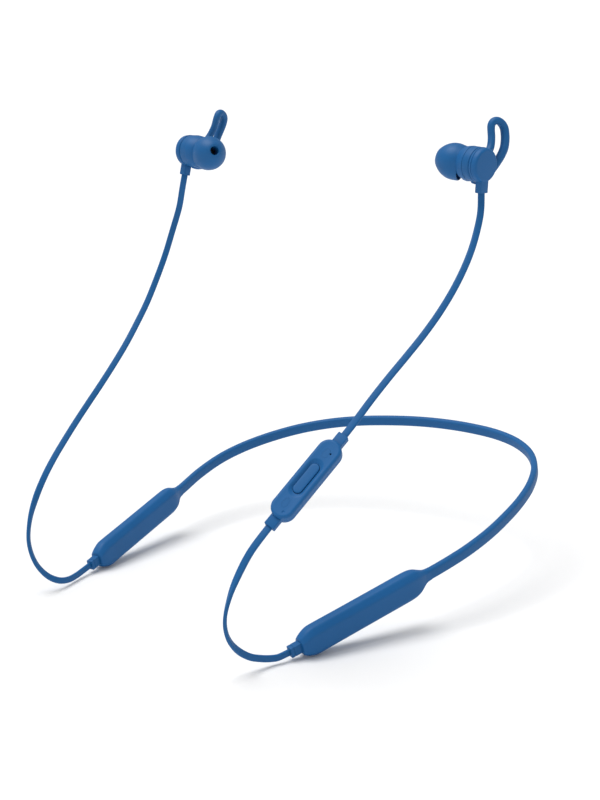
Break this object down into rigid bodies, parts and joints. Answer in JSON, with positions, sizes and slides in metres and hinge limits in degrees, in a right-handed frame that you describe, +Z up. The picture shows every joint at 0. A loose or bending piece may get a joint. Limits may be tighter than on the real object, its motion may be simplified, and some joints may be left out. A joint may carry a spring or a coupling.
{
  "type": "neckband earphones",
  "caption": "Sprung flat neckband with a slim pod at each end, flat ear cables, an in-line key pod and in-ear buds with soft tips and open stabilising loops.",
  "frame": {"origin": "on the inner face of the band at the middle of its back, where it rests on the neck", "axes": "+Z up, -Y the way the wearer faces, +X towards the wearer's left, the side of the in-line key pod"},
  "size_m": [0.1448, 0.1839, 0.1737],
  "materials": {
    "housing_plastic": "soft-touch matt, mid blue",
    "key_plastic": "soft-touch matt, mid blue",
    "soft_cover": "matt elastomer, mid blue",
    "silicone": "satin silicone, mid blue",
    "spring_steel": "plain spring steel",
    "circuit_board": "solder mask",
    "battery_cell": "foil pouch",
    "contact_metal": "plated metal",
    "magnet": "nickel plated",
    "nozzle_mesh": "fine dark mesh",
    "lamp_lens": "frosted white"
  },
  "bodies": {
    "neckband": {"band_back_sheath": "soft_cover", "band_back_spring_wire": "spring_steel"},
    "left_arm": {"band_left_sheath": "soft_cover", "band_left_spring_wire": "spring_steel", "centre_switch": "contact_metal", "charging_connector": "contact_metal", "left_band_crimp": "spring_steel", "left_battery_cell": "battery_cell", "left_bud_cable_sleeve": "soft_cover", "left_bud_cap": "housing_plastic", "left_bud_housing": "housing_plastic", "left_driver": "contact_metal", "left_lower_cable": "soft_cover", "left_magnet": "magnet", "left_nozzle_screen": "nozzle_mesh", "left_pod_cable_sleeve": "soft_cover", "left_pod_inner_shell": "housing_plastic", "left_pod_outer_shell": "housing_plastic", "left_upper_cable": "soft_cover", "power_board": "circuit_board", "power_switch": "contact_metal", "remote_back_cover": "housing_plastic", "remote_board": "circuit_board", "remote_front_cover": "housing_plastic", "remote_lower_sleeve": "soft_cover", "remote_microphone": "contact_metal", "remote_upper_sleeve": "soft_cover", "status_lens": "lamp_lens", "volume_down_switch": "contact_metal", "volume_up_switch": "contact_metal"},
    "right_arm": {"band_right_sheath": "soft_cover", "band_right_spring_wire": "spring_steel", "radio_board": "circuit_board", "radio_chip": "contact_metal", "right_band_crimp": "spring_steel", "right_battery_cell": "battery_cell", "right_bud_cable_sleeve": "soft_cover", "right_bud_cap": "housing_plastic", "right_bud_housing": "housing_plastic", "right_cable": "soft_cover", "right_driver": "contact_metal", "right_magnet": "magnet", "right_nozzle_screen": "nozzle_mesh", "right_pod_cable_sleeve": "soft_cover", "right_pod_inner_shell": "housing_plastic", "right_pod_outer_shell": "housing_plastic"},
    "power_button": {"power_button": "key_plastic"},
    "centre_button": {"centre_button": "key_plastic"},
    "volume_up_key": {"volume_up_key": "key_plastic"},
    "volume_down_key": {"volume_down_key": "key_plastic"},
    "left_ear_tip": {"left_ear_tip": "silicone"},
    "right_ear_tip": {"right_ear_tip": "silicone"},
    "left_ear_wing": {"left_ear_wing": "silicone"},
    "right_ear_wing": {"right_ear_wing": "silicone"}
  },
  "joints": [
    {"name": "left_arm_flex", "type": "hinge", "parent": "neckband", "child": "left_arm", "pos_m": [0.05977, -0.02557, -0.0059], "axis": [0, -0.225, 0.9744], "range_deg": [-10, 10], "stiffness_Nm_per_rad": 0.2},
    {"name": "right_arm_flex", "type": "hinge", "parent": "neckband", "child": "right_arm", "pos_m": [-0.06225, -0.03197, -0.00738], "axis": [0, -0.225, 0.9744], "range_deg": [-10, 10], "stiffness_Nm_per_rad": 0.2},
    {"name": "power_button_press", "type": "slide", "parent": "left_arm", "child": "power_button", "axis": [0.9767, -0.2092, -0.0483], "range_m": [0, 0.0003], "stiffness_N_per_m": 400},
    {"name": "centre_button_press", "type": "slide", "parent": "left_arm", "child": "centre_button", "axis": [-0.4672, 0.6208, -0.6296], "range_m": [0, 0.0003], "stiffness_N_per_m": 400},
    {"name": "volume_up_press", "type": "slide", "parent": "left_arm", "child": "volume_up_key", "axis": [-0.4672, 0.6208, -0.6296], "range_m": [0, 0.0003], "stiffness_N_per_m": 400},
    {"name": "volume_down_press", "type": "slide", "parent": "left_arm", "child": "volume_down_key", "axis": [-0.4672, 0.6208, -0.6296], "range_m": [0, 0.0003], "stiffness_N_per_m": 400},
    {"name": "left_ear_tip_pull", "type": "slide", "parent": "left_arm", "child": "left_ear_tip", "axis": [-0.9053, -0.3601, 0.2251], "range_m": [0, 0.008]},
    {"name": "left_ear_wing_turn", "type": "hinge", "parent": "left_arm", "child": "left_ear_wing", "pos_m": [0.0636, -0.0645, 0.118], "axis": [-0.998, 0.0399, 0.0499], "range_deg": [-15, 15]},
    {"name": "right_ear_tip_pull", "type": "slide", "parent": "right_arm", "child": "right_ear_tip", "axis": [0.9053, -0.3601, 0.2251], "range_m": [0, 0.008]},
    {"name": "right_ear_wing_turn", "type": "hinge", "parent": "right_arm", "child": "right_ear_wing", "pos_m": [-0.0628, -0.092, 0.1176], "axis": [0.9998, 0, 0.02], "range_deg": [-15, 15]}
  ]
}
